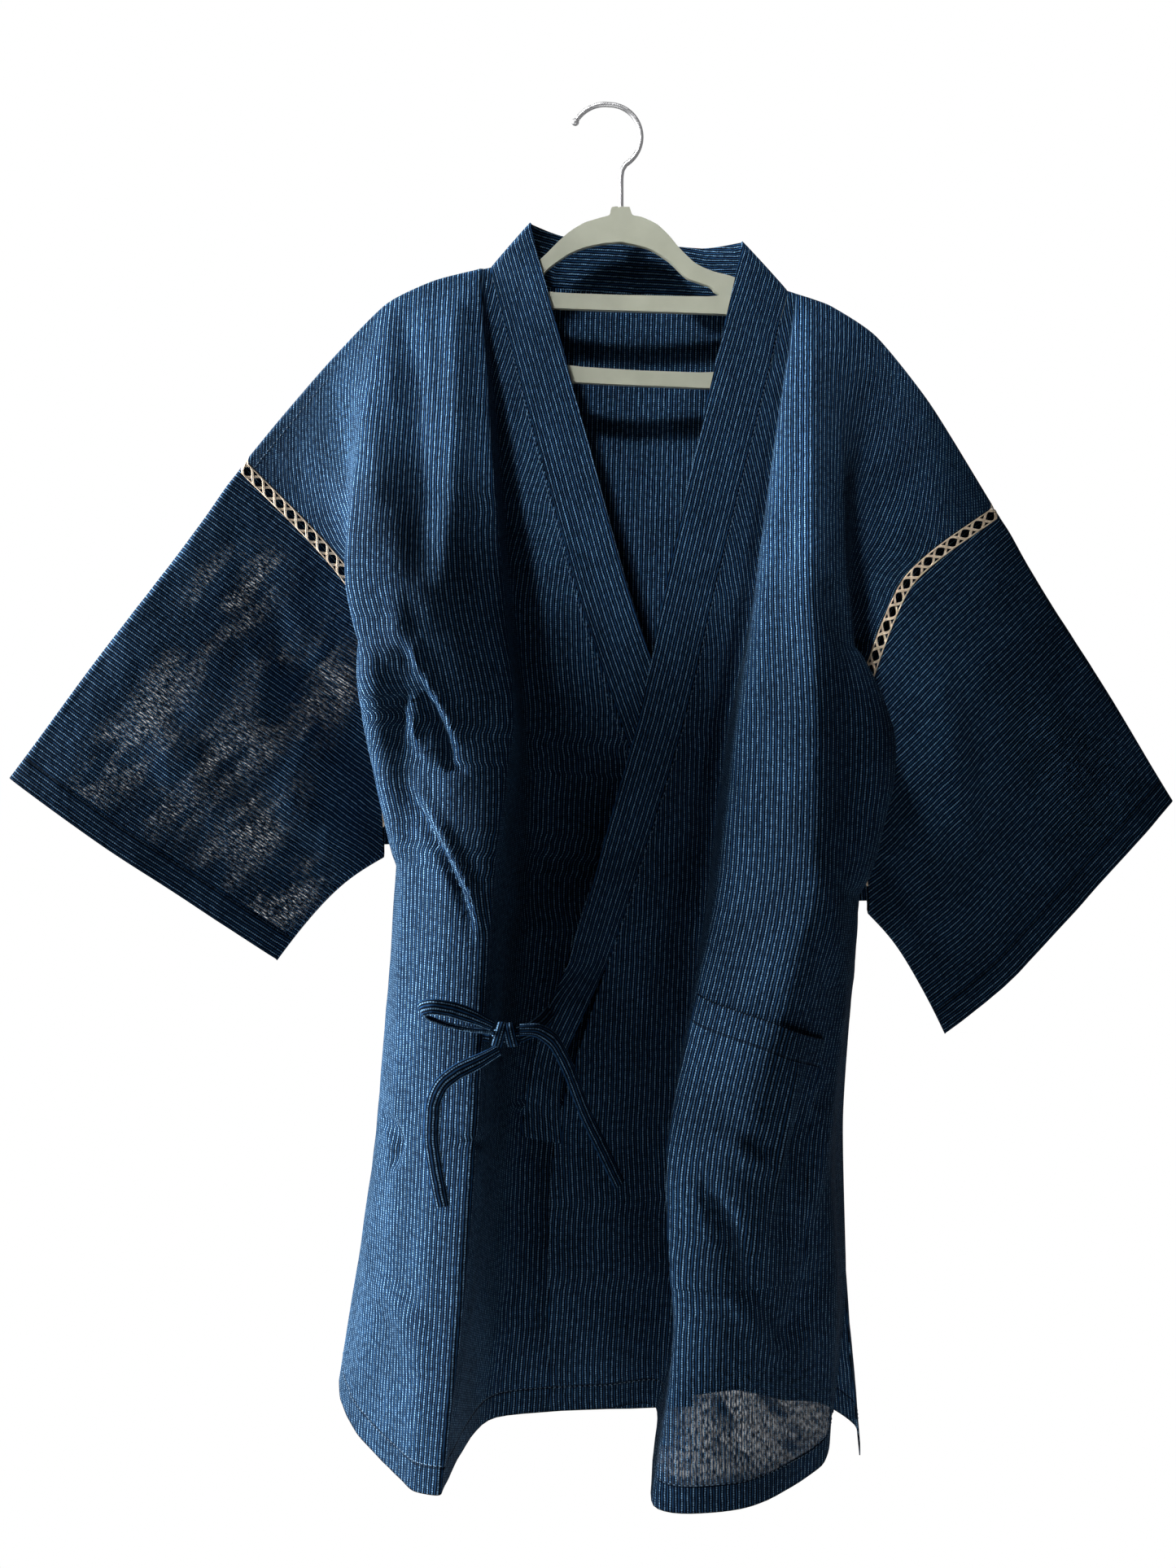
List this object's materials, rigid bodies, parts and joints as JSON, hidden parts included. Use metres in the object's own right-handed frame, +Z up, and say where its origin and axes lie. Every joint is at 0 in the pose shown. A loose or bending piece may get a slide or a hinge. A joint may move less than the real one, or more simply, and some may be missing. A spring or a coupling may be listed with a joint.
{
  "type": "jinbei jacket on a clothes hanger",
  "caption": "Open front, wide sleeved jinbei jacket in striped cotton, with a band collar, patch pocket, lace insertions and a tied bow, hung on a moulded hanger with a wire hook.",
  "frame": {"origin": "inner top of the hanger's hook, where a rod, nail or peg holds it", "axes": "+Z up, the jacket's front faces -Y, +X to the viewer's right (the wearer's left)"},
  "size_m": [0.808, 0.171, 0.9316],
  "materials": {
    "striped_cotton": "puckered weave with fine lengthwise stripes",
    "cream_lace": "matt crossed cord",
    "hanger_plastic": "satin sage green",
    "hook_wire": "bright"
  },
  "bodies": {
    "root": {"front_right": "striped_cotton", "front_left": "striped_cotton", "back": "striped_cotton", "collar_right": "striped_cotton", "collar_left": "striped_cotton", "collar_back": "striped_cotton", "sleeve_right": "striped_cotton", "sleeve_left": "striped_cotton", "pocket": "striped_cotton", "braid_right_front": "cream_lace", "braid_right_back": "cream_lace", "braid_left_front": "cream_lace", "braid_left_back": "cream_lace", "tie_stub": "striped_cotton", "tie_anchor": "striped_cotton", "bow_loop": "striped_cotton", "tie_left_tail": "striped_cotton", "tie_right_tail": "striped_cotton", "bow_knot": "striped_cotton", "hanger": "hanger_plastic", "hook": "hook_wire"}
  },
  "joints": []
}
